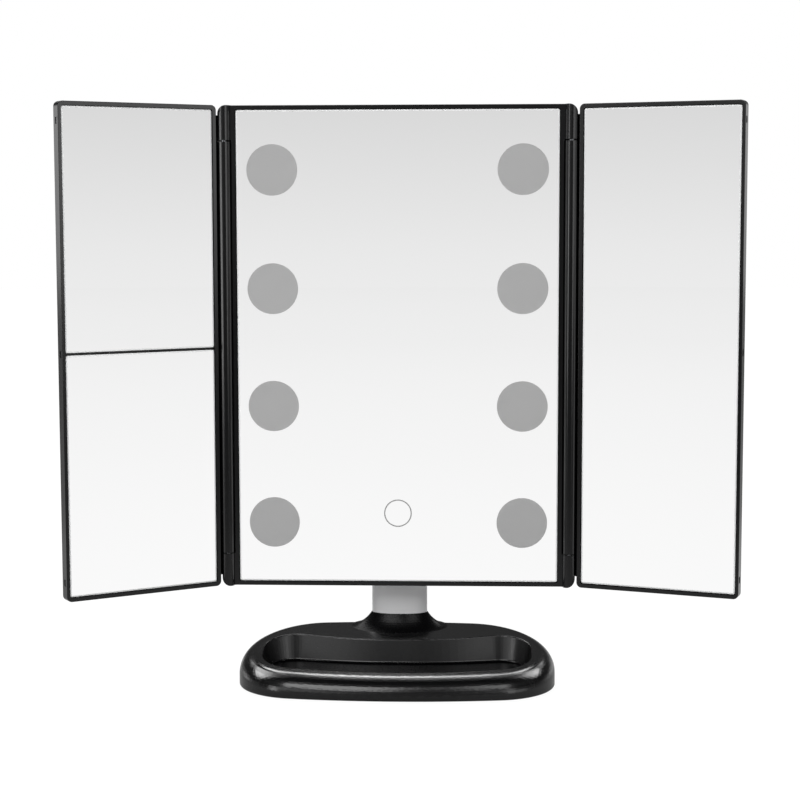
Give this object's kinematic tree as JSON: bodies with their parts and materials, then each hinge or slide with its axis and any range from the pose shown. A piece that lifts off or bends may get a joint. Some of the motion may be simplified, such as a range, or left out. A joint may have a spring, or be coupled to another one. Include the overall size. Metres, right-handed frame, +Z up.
{
  "type": "vanity_mirror",
  "caption": "Trifold lighted vanity mirror with folding side mirrors, tilting head, oval post and weighted tray base",
  "frame": {"origin": "Centre of the base's footprint, on the surface it stands on", "axes": "+X to the user's right along the width, -Y towards the user, +Z up"},
  "size_m": [0.3855, 0.0974, 0.3354],
  "materials": {
    "black_abs": "gloss",
    "rubber_pad": "matte",
    "ballast_steel": "satin",
    "zinc_screws": "satin",
    "satin_aluminium": "satin",
    "cast_zinc": "matte",
    "bracket_steel": "satin",
    "nylon": "matte",
    "mirror_glass": "gloss",
    "foam_tape": "matte",
    "lens_plastic": "matte",
    "ring_paint": "matte",
    "sensor_film": "matte",
    "cell_sleeve": "gloss",
    "contact_plating": "gloss",
    "board_laminate": "matte",
    "led_package": "matte",
    "switch_plastic": "matte",
    "ribbon_film": "matte"
  },
  "bodies": {
    "stand": {"base_shell": "black_abs", "tray_floor": "black_abs", "ballast_plate": "ballast_steel", "bottom_cover": "black_abs", "anti_slip_pad": "rubber_pad", "base_screws": "zinc_screws", "post_sleeve": "satin_aluminium", "post_core": "cast_zinc", "post_clamp_plate": "ballast_steel", "post_bolts": "zinc_screws", "tilt_friction_washers": "nylon"},
    "head": {"tilt_bracket": "bracket_steel", "bracket_screws": "zinc_screws", "tilt_pin": "bracket_steel", "tilt_nut": "zinc_screws", "centre_frame": "black_abs", "centre_mirror": "mirror_glass", "centre_mirror_tape": "foam_tape", "lamp_lenses": "lens_plastic", "touch_ring": "ring_paint", "touch_sensor": "sensor_film", "centre_back_cover": "black_abs", "cover_screws": "zinc_screws", "battery_cells": "cell_sleeve", "battery_contacts": "contact_plating", "left_led_board": "board_laminate", "right_led_board": "board_laminate", "led_chips": "led_package", "control_board": "board_laminate", "power_switch_body": "switch_plastic", "power_inlet": "contact_plating", "ribbon_cables": "ribbon_film", "left_wing_hinge_pins": "bracket_steel", "right_wing_hinge_pins": "bracket_steel"},
    "left_wing": {"left_wing_frame": "black_abs", "left_wing_back_cover": "black_abs", "left_upper_mirror": "mirror_glass", "left_lower_mirror": "mirror_glass", "left_wing_mirror_tape": "foam_tape", "left_wing_hinge_bushes": "nylon"},
    "right_wing": {"right_wing_frame": "black_abs", "right_wing_back_cover": "black_abs", "right_mirror": "mirror_glass", "right_wing_mirror_tape": "foam_tape", "right_wing_hinge_bushes": "nylon"},
    "battery_door": {"battery_lid": "black_abs"},
    "power_slider": {"power_switch_knob": "black_abs"}
  },
  "joints": [
    {"name": "head_tilt", "type": "hinge", "parent": "stand", "child": "head", "pos_m": [0, 0.0322, 0.0845], "axis": [-1, 0, 0], "range_deg": [-12, 20]},
    {"name": "left_wing_hinge", "type": "hinge", "parent": "head", "child": "left_wing", "pos_m": [-0.1003, 0.009, 0.195], "axis": [0, 0, 1], "range_deg": [-32.7, 147.3]},
    {"name": "right_wing_hinge", "type": "hinge", "parent": "head", "child": "right_wing", "pos_m": [0.1003, 0.009, 0.195], "axis": [0, 0, -1], "range_deg": [-19.9, 160.1]},
    {"name": "battery_lid_slide", "type": "slide", "parent": "head", "child": "battery_door", "axis": [0, 0, -1], "range_m": [0, 0.01]},
    {"name": "power_switch_slide", "type": "slide", "parent": "head", "child": "power_slider", "axis": [0, 0, 1], "range_m": [0, 0.004]}
  ]
}
